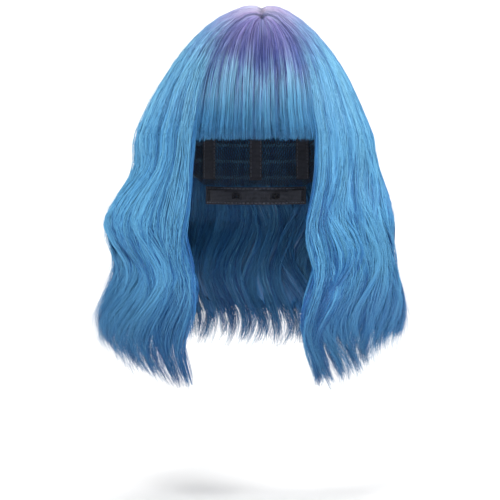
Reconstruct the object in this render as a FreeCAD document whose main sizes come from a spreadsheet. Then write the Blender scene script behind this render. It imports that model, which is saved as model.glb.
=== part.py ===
"""Costume wig: a shoulder-length wavy bob with a straight fringe, on a machine-made stretch cap.

Frame: millimetres, +Z up, the face looks along -Y and +X is at the right of someone who looks at the face.
The origin is the point inside the cap's crown that rests on the top of the head.

The cap is a stack of thin layers over an egg-shaped head: tapes inside, net in the middle, sewn wefts outside.
The hair is a set of soft closed solids between the cap and the outline of the hairdo.
The ear tabs and the two adjuster straps are the pieces that move.
"""
import FreeCAD, Part
import math
import os

import Sketcher

DOC = FreeCAD.newDocument("costume_wig")
SHEET = DOC.addObject("Spreadsheet::Sheet", "sizes")
SIDES = ("right", "left")
ALONG_X = FreeCAD.Rotation(FreeCAD.Vector(1, 1, 1), 120)       # sketch x along +Y, sketch y along +Z, normal +X
ALONG_Z = FreeCAD.Rotation()
LYING = FreeCAD.Rotation(FreeCAD.Vector(0, 1, 0), 90)          # a cylinder's axis along +X
RING_POINTS = 24                                               # points of one outline of the hair
RING_STEP = 14.0                                               # height between two outlines of the hair

# ---------------------------------------------------------------- driving dimensions

DIMENSIONS = {
    "zero": 0, "reach": 150,
    # the head that the cap fits, 546 mm round at its widest
    "head_half_width": 76, "head_half_depth": 97, "head_half_height": 95,
    # layers of the cap, as distances out from the head
    "tape_in": 0, "tape_out": 0.6, "net_in": 1.1, "net_out": 1.7, "weft_in": 2.2, "weft_out": 3.4,
    "patch_out": 3.0, "tab_in": 0.7, "stay_in": -0.8, "stay_out": 0.2, "hair_in": 4.5,
    # lower edge of the cap, seen from the side
    "front_y": -112, "hairline_y": -84, "hairline_z": -48, "temple_y": -60, "temple_z": -72,
    "tab_front_y": -50, "tab_top_z": -90, "ear_back_y": 26, "ear_back_z": -118,
    "nape_side_y": 58, "net_foot_z": -144, "back_y": 118, "over_crown_z": 20,
    "ear_y": 4, "ear_z": -104, "ear_radius": 21, "binding_width": 6,
    # tapes, patch and wefts
    "band_width": 12, "band_clear": 14, "rib_width": 12, "side_rib_x": 45, "rib_foot_z": -138,
    "patch_half_width": 20, "patch_front_y": -56, "patch_back_y": 24,
    "weft_height": 3, "weft_first_z": -25, "weft_pitch": 16, "weft_back_y": 36, "weft_ear_z": -76,
    # ear tab
    "tab_gap": 1.5, "tab_front_foot_y": -42, "tab_foot_z": -122, "tab_back_y": -21, "stay_width": 3, "stay_y": -36,
    "stay_foot_z": -118, "stay_height": 24,
    # nape hardware, in arcs round one upright axis
    "nape_axis_y": 31, "nape_radius": 52.2, "nape_thick": 1.2, "nape_foot_z": -162, "nape_height": 17,
    "nape_half_angle": 64, "loop_radius": 50.9, "loop_thick": 0.8, "loop_foot_z": -159, "loop_height": 10,
    "loop_start": 3, "loop_angle": 32, "slot_start": 5, "slot_angle": 2.4, "slot_pitch": 5, "slot_height": 6,
    "strap_radius": 49.4, "strap_thick": 0.8, "strap_foot_z": -158, "strap_height": 8, "strap_start": 24,
    "strap_angle": 38, "casing_clear": 0.5, "casing_wall": 0.6, "casing_start": 40, "casing_angle": 24,
    "hook_radius": 47.7, "hook_thick": 1.3, "hook_height": 5, "hook_start": 19, "hook_angle": 9,
    "hook_lip": 2.6, "hook_lip_angle": 1.6,
    # hair outline over the head: half breadth follows a power of the drop, front and back follow an ellipse
    "hair_top": 16.7, "hair_half_width": 112, "hair_front": 112, "hair_back": 119, "brow_z": -102,
    "dome_power": 2.2,
    # hair outline below the brow
    "flare": 0.165, "wave_size": 4.5, "wave_length": 84, "wave_crest_z": -178, "wave_start": 37,
    "cavity_flare": 22, "cavity_flare_over": 110, "hair_gap": 0.8,
    # where the hair divides, seen from above
    "part_x": 5, "part_front_y": -50, "crown_y": 8, "fringe_1_x": 27, "fringe_1_y": -57, "fringe_2_x": 42,
    "fringe_2_y": -69, "fringe_3_x": 52, "fringe_3_y": -82, "fringe_4_x": 57, "fringe_4_y": -97,
    "lock_back_y": -56, "side_back_y": 34, "back_half_width": 62,
    # lower ends of the hair
    "fringe_foot": -102, "lock_foot": -332, "side_foot": -288, "back_foot": -300, "under_top": -78,
    "under_side_foot": -270, "nape_foot": -282,
}


def fill_sheet():
    for row, (alias, number) in enumerate(DIMENSIONS.items(), start=1):
        SHEET.set(f"A{row}", alias)
        SHEET.set(f"B{row}", str(number))
        SHEET.setAlias(f"B{row}", alias)
    DOC.recompute()


def size(alias):
    """A driving dimension as a plain number. A leading minus sign takes its negative."""
    return -float(SHEET.get(alias[1:])) if alias.startswith("-") else float(SHEET.get(alias))


def bind(thing, **expressions):
    """Ties properties to cells. A double underscore stands for the dot in the path of a property."""
    for path, expression in expressions.items():
        thing.setExpression(path.replace("__", "."), expression)
    return thing


PIECES = []


def piece(thing, label):
    """Names a finished sub-part. Its file takes the same name."""
    thing.Label = label
    PIECES.append(thing)
    return thing


def mirrored(thing, label):
    """The left-hand twin of a right-hand sub-part."""
    twin = DOC.addObject("Part::Mirroring", label)
    twin.Source = thing
    twin.Normal = FreeCAD.Vector(1, 0, 0)
    return piece(twin, label)


# ---------------------------------------------------------------- building blocks

def common(name, *shapes):
    both = DOC.addObject("Part::MultiCommon", name)
    both.Shapes = list(shapes)
    return both


def cut(name, base, tool):
    less = DOC.addObject("Part::Cut", name)
    less.Base, less.Tool = base, tool
    return less


def fuse(name, *shapes):
    whole = DOC.addObject("Part::MultiFuse", name)
    whole.Shapes = list(shapes)
    return whole


def head_shape(name, layer):
    """The head grown by the distance in a cell."""
    egg = DOC.addObject("Part::Ellipsoid", name)
    return bind(egg, Radius1=f"sizes.head_half_height + sizes.{layer}",
                Radius2=f"sizes.head_half_width + sizes.{layer}",
                Radius3=f"sizes.head_half_depth + sizes.{layer}", Placement__Base__z="-sizes.head_half_height")


def shell(name, inside, outside):
    """A thin layer of the cap between two distances from the head."""
    return cut(name, head_shape(name + "_outside", outside), head_shape(name + "_inside", inside))


def polygon(name, rotation, corners):
    """A closed sketch. Each corner is a pair of sums of cells, such as ("temple_y + band_width", "temple_z")."""
    sketch = DOC.addObject("Sketcher::SketchObject", name)
    sketch.Placement = FreeCAD.Placement(FreeCAD.Vector(0, 0, 0), rotation)
    places = [FreeCAD.Vector(*[sum(size(term) for term in total.split(" + ")) for total in corner], 0)
              for corner in corners]
    count = len(places)
    for i in range(count):
        sketch.addGeometry(Part.LineSegment(places[i], places[(i + 1) % count]), False)
    for i in range(count):
        sketch.addConstraint(Sketcher.Constraint("Coincident", i, 2, (i + 1) % count, 1))
    for i in range(count):
        for kind, number, total in zip(("DistanceX", "DistanceY"), places[i], corners[i]):
            index = sketch.addConstraint(Sketcher.Constraint(kind, -1, 1, i, 1, number))
            terms = [f"-sizes.{term[1:]}" if term.startswith("-") else f"sizes.{term}"
                     for term in total.split(" + ")]
            sketch.setExpression(f"Constraints[{index}]", " + ".join(terms))
    return sketch


def side_prism(name, corners, right_only=False):
    """A prism along X over a polygon in the side view."""
    prism = DOC.addObject("Part::Extrusion", name)
    prism.Base = polygon(name + "_sketch", ALONG_X, corners)
    prism.Dir = FreeCAD.Vector(1, 0, 0)
    prism.DirMode = "Custom"
    prism.Solid = True
    return bind(prism, LengthFwd="sizes.reach", LengthRev="sizes.zero" if right_only else "sizes.reach")


def block(name, **expressions):
    """A box, tied to cells by its lowest corner x, y, z and its sizes."""
    box = DOC.addObject("Part::Box", name)
    for axis in "xyz":
        bind(box, **{f"Placement__Base__{axis}": expressions.pop(axis)})
    return bind(box, **expressions)


def ear_bar(name, radius):
    """A round bar along X through the places of both ears."""
    bar = DOC.addObject("Part::Cylinder", name)
    bar.Placement.Rotation = LYING
    return bind(bar, Radius=radius, Height="2 * sizes.reach", Placement__Base__x="-sizes.reach",
                Placement__Base__y="sizes.ear_y", Placement__Base__z="sizes.ear_z")


def arc(name, radius, thick, foot, height, start, angle):
    """An upright curved plate at the nape. Angles run from the back's middle towards +X."""
    rounds = []
    for part, expression in (("outer", f"{radius} + {thick}"), ("inner", radius)):
        drum = DOC.addObject("Part::Cylinder", f"{name}_{part}")
        drum.Placement.Rotation = FreeCAD.Rotation(FreeCAD.Vector(0, 0, 1), 1)
        bind(drum, Radius=expression, Height=height, Angle=angle, Placement__Base__y="sizes.nape_axis_y",
             Placement__Base__z=foot, Placement__Rotation__Angle=f"90 - ({start}) - ({angle})")
        rounds.append(drum)
    return cut(name, *rounds)


# ---------------------------------------------------------------- the cap

def cap_outline(name):
    """The whole field of the cap in the side view."""
    return side_prism(name, [
        ("front_y", "over_crown_z"), ("front_y", "hairline_z"), ("hairline_y", "hairline_z"),
        ("temple_y", "temple_z"), ("tab_front_y", "tab_top_z"), ("ear_y", "tab_top_z"),
        ("ear_back_y", "ear_back_z"), ("nape_side_y", "net_foot_z"), ("back_y", "net_foot_z"),
        ("back_y", "over_crown_z")])


def make_net():
    field = common("net_field", shell("net_shell", "net_in", "net_out"), cap_outline("net_outline"))
    piece(cut("net", field, ear_bar("net_ear", "sizes.ear_radius")), "crown_net")


def make_patch():
    window = block("patch_window", x="sizes.part_x - sizes.patch_half_width", y="sizes.patch_front_y",
                   z="-sizes.head_half_height", Length="2 * sizes.patch_half_width",
                   Width="sizes.patch_back_y - sizes.patch_front_y", Height="2 * sizes.head_half_height")
    piece(common("patch", shell("patch_shell", "weft_in", "patch_out"), window), "parting_patch")


def make_front_band():
    strip = side_prism("band_strip", [
        ("front_y", "hairline_z"), ("hairline_y", "hairline_z"), ("temple_y", "temple_z"),
        ("tab_front_y", "tab_top_z"), ("tab_front_y + band_width", "tab_top_z"),
        ("temple_y + band_width", "temple_z"), ("hairline_y + band_width", "hairline_z + band_width"),
        ("front_y", "hairline_z + band_width")])
    piece(common("band", shell("band_shell", "tape_in", "tape_out"), strip), "front_band")


def make_ribs():
    for name, left, label in (("rib_middle", "-sizes.rib_width / 2", "rib_center"),
                              ("rib_side", "sizes.side_rib_x - sizes.rib_width / 2", "rib_right")):
        field = side_prism(name + "_field", [
            ("front_y", "over_crown_z"), ("front_y", "hairline_z + band_clear"),
            ("hairline_y + band_clear", "hairline_z + band_clear"), ("temple_y + band_clear", "temple_z"),
            ("temple_y + band_clear", "rib_foot_z"), ("back_y", "rib_foot_z"), ("back_y", "over_crown_z")])
        slab = block(name + "_slab", x=left, y="-sizes.reach", z="-sizes.reach", Length="sizes.rib_width",
                     Width="2 * sizes.reach", Height="2 * sizes.reach")
        rib = common(name, shell(name + "_shell", "tape_in", "tape_out"), field, slab)
        piece(rib, label)
    mirrored(rib, "rib_left")


def make_ear_bindings():
    ring = cut("binding_ring", ear_bar("binding_outer", "sizes.ear_radius + sizes.binding_width"),
               ear_bar("binding_inner", "sizes.ear_radius"))
    half = side_prism("binding_field", [
        ("front_y", "over_crown_z"), ("front_y", "tab_top_z"), ("ear_y", "tab_top_z"),
        ("ear_back_y", "ear_back_z"), ("nape_side_y", "ear_back_z"), ("nape_side_y", "over_crown_z")],
        right_only=True)
    binding = common("binding", shell("binding_shell", "tape_in", "tape_out"), ring, half)
    mirrored(piece(binding, "ear_binding_right"), "ear_binding_left")


def make_wefts():
    """Rows of sewn hair strip: whole rings at the top, open at the face lower down, behind the ears at the foot."""
    count = 8
    for i in range(count):
        top = f"sizes.weft_first_z - {i} * sizes.weft_pitch"
        slab = block(f"weft_slab_{i + 1}", x="-sizes.reach", y="-sizes.reach", z=top, Length="2 * sizes.reach",
                     Width="2 * sizes.reach", Height="sizes.weft_height")
        field = side_prism(f"weft_field_{i + 1}", [
            ("front_y", "over_crown_z"), ("front_y", "hairline_z"), ("hairline_y", "hairline_z"),
            ("temple_y", "temple_z"), ("temple_y", "weft_ear_z"), ("weft_back_y", "weft_ear_z"),
            ("weft_back_y", "net_foot_z"), ("back_y", "net_foot_z"), ("back_y", "over_crown_z")])
        strip = shell(f"weft_shell_{i + 1}", "weft_in", "weft_out")
        piece(common(f"weft_{i + 1}", strip, slab, field), f"weft_track_{i + 1}")


def make_ear_tabs():
    flap = side_prism("tab_flap", [
        ("tab_front_y", "tab_top_z + -tab_gap"), ("tab_front_foot_y", "tab_foot_z"),
        ("tab_back_y", "tab_foot_z"), ("tab_back_y", "tab_top_z + -tab_gap")], right_only=True)
    tab = common("tab", shell("tab_shell", "tab_in", "net_out"), flap)
    mirrored(piece(tab, "ear_tab_right"), "ear_tab_left")
    slot = block("stay_slot", x="sizes.zero", y="sizes.stay_y", z="sizes.stay_foot_z", Length="sizes.reach",
                 Width="sizes.stay_width", Height="sizes.stay_height")
    stay = common("stay", shell("stay_shell", "stay_in", "stay_out"), slot)
    mirrored(piece(stay, "ear_tab_stay_right"), "ear_tab_stay_left")


# ---------------------------------------------------------------- nape band and adjusters

def make_nape_band():
    band = arc("nape_arc", "sizes.nape_radius", "sizes.nape_thick", "sizes.nape_foot_z", "sizes.nape_height",
               "-sizes.nape_half_angle", "2 * sizes.nape_half_angle")
    piece(band, "nape_band")


def make_loops():
    tape = arc("loop_tape", "sizes.loop_radius", "sizes.loop_thick", "sizes.loop_foot_z", "sizes.loop_height",
               "sizes.loop_start", "sizes.loop_angle")
    count = 6
    slots = [arc(f"loop_slot_{i + 1}", "sizes.loop_radius - 1", "sizes.loop_thick + 2",
                 "sizes.loop_foot_z + (sizes.loop_height - sizes.slot_height) / 2", "sizes.slot_height",
                 f"sizes.slot_start + {i} * sizes.slot_pitch", "sizes.slot_angle") for i in range(count)]
    loops = cut("loops", tape, fuse("loop_slots", *slots))
    mirrored(piece(loops, "adjuster_loops_right"), "adjuster_loops_left")


def make_casing():
    """A flat sewn sleeve that the strap slides in."""
    sleeve = arc("casing_sleeve", "sizes.strap_radius - sizes.casing_clear - sizes.casing_wall",
                 "sizes.strap_thick + 2 * sizes.casing_clear + 2 * sizes.casing_wall",
                 "sizes.strap_foot_z - sizes.casing_clear - sizes.casing_wall",
                 "sizes.strap_height + 2 * sizes.casing_clear + 2 * sizes.casing_wall",
                 "sizes.casing_start", "sizes.casing_angle")
    tunnel = arc("casing_tunnel", "sizes.strap_radius - sizes.casing_clear",
                 "sizes.strap_thick + 2 * sizes.casing_clear", "sizes.strap_foot_z - sizes.casing_clear",
                 "sizes.strap_height + 2 * sizes.casing_clear", "sizes.casing_start - 1", "sizes.casing_angle + 2")
    mirrored(piece(cut("casing", sleeve, tunnel), "strap_casing_right"), "strap_casing_left")


def make_straps():
    strap = arc("strap", "sizes.strap_radius", "sizes.strap_thick", "sizes.strap_foot_z", "sizes.strap_height",
                "sizes.strap_start", "sizes.strap_angle")
    mirrored(piece(strap, "adjuster_strap_right"), "adjuster_strap_left")
    foot = "sizes.strap_foot_z + (sizes.strap_height - sizes.hook_height) / 2"
    plate = arc("hook_plate", "sizes.hook_radius", "sizes.hook_thick", foot, "sizes.hook_height",
                "sizes.hook_start", "sizes.hook_angle")
    lip = arc("hook_lip", "sizes.hook_radius", "sizes.hook_lip", foot, "sizes.hook_height",
              "sizes.hook_start", "sizes.hook_lip_angle")
    mirrored(piece(fuse("hook", plate, lip), "adjuster_hook_right"), "adjuster_hook_left")


# ---------------------------------------------------------------- the hair

def smooth(fraction):
    """An S-shaped rise from 0 to 1."""
    fraction = min(max(fraction, 0.0), 1.0)
    return fraction * fraction * (3.0 - 2.0 * fraction)


def hair_ring(z):
    """Half breadth, front and back of the hairdo at a height."""
    brow = size("brow_z")
    if z >= brow:
        top = size("hair_top")
        breadth = size("hair_half_width") * ((top - z) / (top - brow)) ** (1.0 / size("dome_power"))
        centre = -size("head_half_height")
        rise = max(z - centre, 0.0) / (top - centre)
        depth = math.sqrt(max(1.0 - rise * rise, 0.0))
        return breadth, size("hair_front") * depth, size("hair_back") * depth
    drop = brow - z
    turn = 2.0 * math.pi * (z - size("wave_crest_z")) / size("wave_length")
    wave = size("wave_size") * math.cos(turn) * smooth(drop / size("wave_start"))
    breadth = size("hair_half_width") + size("flare") * drop + wave
    return breadth, size("hair_front") + wave, size("hair_back") + wave


def cavity_ring(z):
    """Half breadth, front and back of the space that is kept for the cap, the head and the neck."""
    layer, middle = size("hair_in"), -size("head_half_height")
    breadth, depth = size("head_half_width") + layer, size("head_half_depth") + layer
    if z >= middle:
        narrowed = math.sqrt(max(1.0 - ((z - middle) / (layer - middle)) ** 2, 0.0))
        return breadth * narrowed, depth * narrowed, depth * narrowed
    return breadth + size("cavity_flare") * smooth((middle - z) / size("cavity_flare_over")), depth, depth


def middle_ring(z, shift):
    """The parting surface between the upper and the under hair, moved outwards by a shift."""
    return [(outer + inner) / 2.0 + shift for outer, inner in zip(hair_ring(z), cavity_ring(z))]


def loft(name, levels, ring_at):
    """A closed solid through the outlines at a list of heights. This form has no sketch or primitive of its own."""
    wires = []
    for z in levels:
        breadth, front, back = ring_at(z)
        points = []
        for i in range(RING_POINTS):
            angle = 2.0 * math.pi * i / RING_POINTS
            depth = back if math.sin(angle) > 0 else front
            points.append(FreeCAD.Vector(breadth * math.cos(angle), depth * math.sin(angle), z))
        curve = Part.BSplineCurve()
        curve.interpolate(Points=points, PeriodicFlag=True)
        wires.append(Part.Wire([curve.toShape()]))
    form = DOC.addObject("Part::Feature", name)
    form.Shape = Part.makeLoft(wires, True, False)
    form.Placement = FreeCAD.Placement()
    return form


def levels_between(top, foot):
    steps = max(2, round((top - foot) / RING_STEP))
    return [top + (foot - top) * i / steps for i in range(steps + 1)]


def dome_levels(top, foot):
    """Heights that are close together at the crown and one step apart lower down."""
    return [top - drop for drop in (0.2, 2.5, 8.0, 18.0)] + levels_between(top - 32.0, foot)


def make_forms():
    """The full depth of the hair, its upper layer and its under layer."""
    brow, middle, lowest = size("brow_z"), -size("head_half_height"), size("lock_foot") - 5.0
    under_top, gap = size("under_top"), size("hair_gap")
    outline = loft("outline", dome_levels(size("hair_top"), brow) + levels_between(brow, lowest)[1:], hair_ring)
    space = loft("space", dome_levels(size("hair_in"), middle) + levels_between(middle, lowest - 5.0)[1:],
                 cavity_ring)
    envelope = loft("envelope", levels_between(under_top, lowest - 1.0), lambda z: middle_ring(z, 0.0))
    clearance = loft("clearance", levels_between(under_top + gap, lowest - 2.0), lambda z: middle_ring(z, gap))
    full = cut("full_hair", outline, space)
    return full, cut("upper_hair", full, clearance), cut("under_hair", envelope, space)


def region(name, corners, foot, top="over_crown_z"):
    """An upright prism over one field of the hairdo seen from above, drawn in by half the gap on every side."""
    drawn_in = DOC.addObject("Part::Offset2D", name + "_inset")
    drawn_in.Source = polygon(name + "_sketch", ALONG_Z, corners)
    drawn_in.Join = "Intersection"
    bind(drawn_in, Value="-sizes.hair_gap / 2")
    prism = DOC.addObject("Part::Extrusion", name)
    prism.Base = drawn_in
    prism.Dir = FreeCAD.Vector(0, 0, 1)
    prism.DirMode = "Custom"
    prism.Solid = True
    prism.LengthRev = 0
    bind(prism, LengthFwd=f"sizes.{top} - sizes.{foot}", Placement__Base__z=f"sizes.{foot}")
    return prism


def fringe_border(side):
    """The seen border between the fringe and a front lock, from the part's front end to the face."""
    sign = "" if side == "right" else "-"
    return [(f"{sign}fringe_{i}_x", f"fringe_{i}_y") for i in (1, 2, 3, 4)] + [(f"{sign}fringe_4_x", "-reach")]


def make_hair():
    full, upper, under = make_forms()
    front_end, crown = ("part_x", "part_front_y"), ("part_x", "crown_y")

    def lock(label, form, corners, *ends):
        piece(common(label, form, region(label + "_field", corners, *ends)), label)

    lock("fringe", full, [front_end] + fringe_border("right") + fringe_border("left")[::-1], "fringe_foot")
    for side in SIDES:
        sign = "" if side == "right" else "-"
        out = f"{sign}reach"
        front = [front_end] + fringe_border(side) + [(out, "-reach"), (out, "lock_back_y")]
        flank = [front_end, (out, "lock_back_y"), (out, "side_back_y"), crown]
        back = [crown, (out, "side_back_y"), (out, "reach"), (f"{sign}back_half_width", "reach")]
        lock(f"front_lock_{side}", full, front, "lock_foot")
        lock(f"side_hair_{side}", upper, flank, "side_foot")
        lock(f"back_hair_{side}", upper, back, "back_foot")
        lock(f"under_side_{side}", under, flank, "under_side_foot", "under_top")
        lock(f"nape_hair_{side}", under, back, "nape_foot", "under_top")
    middle = [crown, ("back_half_width", "reach"), ("-back_half_width", "reach")]
    lock("back_hair_center", upper, middle, "back_foot")
    lock("nape_hair_center", under, middle, "nape_foot", "under_top")


# ---------------------------------------------------------------- build, test and write

def check_everything():
    for thing in DOC.Objects:
        if {"Invalid", "Error"} & set(thing.State):
            raise RuntimeError(f"{thing.Name} did not recompute: {thing.State}")
    for thing in PIECES:
        shape = thing.Shape
        if shape.isNull() or not shape.isValid():
            raise RuntimeError(f"{thing.Label} has no valid shape")
        if len(shape.Solids) != 1:
            raise RuntimeError(f"{thing.Label} has {len(shape.Solids)} solids")


fill_sheet()
make_net()
make_patch()
make_front_band()
make_ribs()
make_ear_bindings()
make_wefts()
make_ear_tabs()
make_nape_band()
make_loops()
make_casing()
make_straps()
make_hair()
DOC.recompute()
check_everything()
os.makedirs("parts", exist_ok=True)
for thing in PIECES:
    thing.Shape.exportStep(f"parts/{thing.Label}.step")
    box = thing.Shape.BoundBox
    print(f"{thing.Label:24s} volume {thing.Shape.Volume / 1000:9.3f} cm3   x {box.XMin:7.1f} {box.XMax:7.1f}"
          f"   y {box.YMin:7.1f} {box.YMax:7.1f}   z {box.ZMin:7.1f} {box.ZMax:7.1f}")
print(f"{len(PIECES)} sub-parts")
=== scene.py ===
"""Costume wig: how it looks. The hair is worked out in millimetres, and Blender's lengths are metres.

The hair is made of closed strands that run from the parting over the dome and down in waves, over an opaque
body of hair that keeps the cap from showing through. Each section of the hairdo is up to three pieces: the
body with its hem, the hair on top, and loose hair. Angles, called turns, go round the head from the face and
are negative on the left, as seen by someone who looks at the face.
"""
import math

import bpy
import numpy as np
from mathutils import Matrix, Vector
from mathutils.bvhtree import BVHTree


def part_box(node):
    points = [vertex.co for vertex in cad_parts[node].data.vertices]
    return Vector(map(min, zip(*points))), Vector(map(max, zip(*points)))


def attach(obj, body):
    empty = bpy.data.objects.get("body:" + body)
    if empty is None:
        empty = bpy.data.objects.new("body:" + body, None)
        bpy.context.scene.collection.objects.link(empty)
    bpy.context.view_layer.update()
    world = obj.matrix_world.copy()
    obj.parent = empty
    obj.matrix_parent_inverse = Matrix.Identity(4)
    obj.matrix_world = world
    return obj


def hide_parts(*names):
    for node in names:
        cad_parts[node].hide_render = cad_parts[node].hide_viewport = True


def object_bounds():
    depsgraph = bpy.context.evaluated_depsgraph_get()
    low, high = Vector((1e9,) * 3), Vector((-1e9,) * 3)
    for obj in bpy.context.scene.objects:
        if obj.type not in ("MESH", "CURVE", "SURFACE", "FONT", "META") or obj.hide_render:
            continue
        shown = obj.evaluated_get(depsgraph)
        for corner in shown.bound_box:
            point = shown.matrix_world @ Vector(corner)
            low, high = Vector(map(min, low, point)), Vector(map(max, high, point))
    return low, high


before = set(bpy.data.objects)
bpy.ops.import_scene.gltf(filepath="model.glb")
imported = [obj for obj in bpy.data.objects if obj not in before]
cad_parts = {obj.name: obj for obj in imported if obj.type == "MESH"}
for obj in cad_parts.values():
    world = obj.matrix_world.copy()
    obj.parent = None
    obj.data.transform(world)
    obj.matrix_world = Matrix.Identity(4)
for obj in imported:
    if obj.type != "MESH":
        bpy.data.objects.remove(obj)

CAD_BOX = [list(corner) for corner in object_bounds()]
RNG = np.random.default_rng(20)
MM = 0.001
MIDDLE_Z = -95.0  # height of the middle of the head
HEAD_CENTRE = np.array([0.0, 0.0, MIDDLE_Z])

# ---------------------------------------- outline of the hairdo

TOP, BROW = 15.7, -102.0  # heights of the dome's top and its lower edge
DOME_POWER = 2.2
HALF_LEFT, HALF_RIGHT, FRONT, BACK = 109.5, 105.5, 112.0, 119.0
FALL_HEIGHTS = (-345.0, -300, -285, -270, -255, -235, -218, -201, -180, -160, -143, -128, -102)
FALL_LEFT = (126.0, 133, 139, 142, 139, 133, 129, 132, 134, 125, 115, 110, 109.5)
FALL_RIGHT = (116.0, 127, 133, 136, 134, 127, 122, 124, 128, 122, 113, 108, 105.5)
FALL_FRONT = (108.0, 110, 113, 115, 113, 108, 107, 110, 114, 113, 110, 110, 112)
FALL_BACK = (112.0, 116, 120, 122, 120, 115, 113, 116, 121, 119, 117, 118, 119)
LEAN_HEIGHTS, LEAN = (-75.0, -45.0, 0.0, 16.0), (0.0, 1.9, 2.3, 4.6)
PART_X, PART_FRONT, PART_BACK = 5.0, -50.0, 8.0
PART_GROOVE, PART_GROOVE_WIDTH = 2.4, 2.6
PART_HUMP, PART_HUMP_X, PART_HUMP_WIDTH = 1.3, 15.0, 11.0


def smooth(x):
    """0 up to 0, 1 from 1 on, and a smooth step between them."""
    x = np.clip(x, 0.0, 1.0)
    return x * x * (3.0 - 2.0 * x)


def ring(z):
    """Half widths of the outline at heights z: left, right, front and back."""
    rise = np.clip((z - MIDDLE_Z) / (TOP - MIDDLE_Z), 0.0, 1.0)
    width = np.clip((TOP - z) / (TOP - BROW), 1e-6, None) ** (1.0 / DOME_POWER)
    depth = np.sqrt(np.clip(1.0 - rise * rise, 1e-9, None))
    below = z < BROW
    return [np.where(below, np.interp(z, FALL_HEIGHTS, table), over)
            for table, over in ((FALL_LEFT, HALF_LEFT * width), (FALL_RIGHT, HALF_RIGHT * width),
                                (FALL_FRONT, FRONT * depth), (FALL_BACK, BACK * depth))]


def lean(z):
    """How far the dome stands to the right of the head's middle at a height."""
    return np.interp(z, LEAN_HEIGHTS, LEAN)


def dome_height(x, y):
    """Height of the dome over a point of the plan, with a low hump on each side of the parting."""
    low, high = np.full(np.shape(x), BROW), np.full(np.shape(x), TOP)
    for _ in range(26):  # halves the range to far under a micron
        middle = (low + high) / 2.0
        left, right, front, back = ring(middle)
        across = x - lean(middle)
        wide = across / np.where(across < 0, left, right)
        deep = y / np.where(y < 0, front, back)
        outside = wide ** 2 + deep ** 2 > 1.0
        high = np.where(outside, middle, high)
        low = np.where(outside, low, middle)
    beside_part = np.abs(x - PART_X)
    along_part = smooth((y - PART_FRONT + 12.0) / 10.0) * (1.0 - smooth((y - PART_BACK + 4.0) / 8.0))
    groove = PART_GROOVE * np.exp(-(beside_part / PART_GROOVE_WIDTH) ** 2)
    hump = PART_HUMP * np.exp(-((beside_part - PART_HUMP_X) / PART_HUMP_WIDTH) ** 2)
    return low + (hump - groove) * along_part


# ---------------------------------------- waves

# At each turn: the height where the hair lies furthest to the left, the length of a wave, how far it sways
# round the head, and how far it bulges outwards.
WAVE_TURN = (-180.0, -120, -90, -62, -42, -30, 30, 42, 60, 90, 120, 180)
WAVE_CREST = (-176.0, -172, -180, -177, -187, -197, -177, -173, -165, -178, -174, -176)
WAVE_LENGTH = (104.0, 102, 104, 114, 104, 97, 95, 104, 116, 98, 100, 104)
WAVE_SWAY = (8.5, 9.5, 10, 14, 11, 6, 5.5, 10, 13, 10, 9.5, 8.5)
WAVE_BULGE = (0.0, 2, 2.5, 5, 4, 0, 0, 4, 5, 2.5, 2, 0)
WAVE_TOP = -102.0  # height where the waves start
SLOW_START, QUICK_START = 112.0, 68.0  # drop to full size, by the face and elsewhere
CREST_WOBBLE, SWAY_WOBBLE = 9.0, 0.2
FRONT_STRETCH = 0.65  # how much longer the first wave is at the front
RIPPLE = 1.5  # the least that every wave stands out
WOBBLE = RNG.uniform(0, 2 * math.pi, 12)


def wobble(turn, which):
    """A slow random change round the head, from -1 to 1."""
    angle = np.radians(turn)
    return (np.sin(5 * angle + WOBBLE[which]) + np.sin(9 * angle + WOBBLE[which + 1])
            + 0.7 * np.sin(16 * angle + WOBBLE[which + 2])) / 2.7


def half_turn(turn):
    """A turn brought into the range from -180 to 180 degrees."""
    return (turn + 180.0) % 360.0 - 180.0


def waves(turn, z, shift=0.0, strength=1.0):
    """Sideways and outward displacement of the hair at a turn and a height."""
    turn = half_turn(turn)
    size = np.abs(turn)
    crest = np.interp(turn, WAVE_TURN, WAVE_CREST) + shift
    crest = crest + CREST_WOBBLE * wobble(turn, 0) * smooth((size - 50.0) / 40.0)
    length = np.interp(turn, WAVE_TURN, WAVE_LENGTH)
    sway = np.interp(turn, WAVE_TURN, WAVE_SWAY) * (1.0 + SWAY_WOBBLE * wobble(turn, 3)) * strength
    bulge = np.interp(turn, WAVE_TURN, WAVE_BULGE) * strength
    above = 1.0 + FRONT_STRETCH * smooth((70.0 - size) / 16.0)
    phase = 2.0 * math.pi * (z - crest) / (length * np.where(z > crest, above, 1.0))
    drop = SLOW_START + (QUICK_START - SLOW_START) * smooth((size - 32.0) / 20.0)
    start = smooth((WAVE_TOP - z) / drop)
    ripple = RIPPLE * strength * np.sin(phase + 2.0 * wobble(turn, 6))
    outwards = -np.sign(turn) * bulge * np.cos(phase) + ripple
    return -sway * np.cos(phase) * start, outwards * start


# ---------------------------------------- the way a hair takes

DOME_STEPS, FALL_STEPS = 36, 44
LEFT_DRIFT, RIGHT_DRIFT = 8.0, -15.0  # outward drift of the front locks' inner edges
RIM_Z = -88.0  # height where the hair leaves the dome
# Share of a hair's length against share of its points: they lie closer near the root.
POINT_SHARES, LENGTH_SHARES = (0.0, 0.13, 0.30, 1.0), (0.0, 0.055, 0.24, 1.0)


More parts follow.
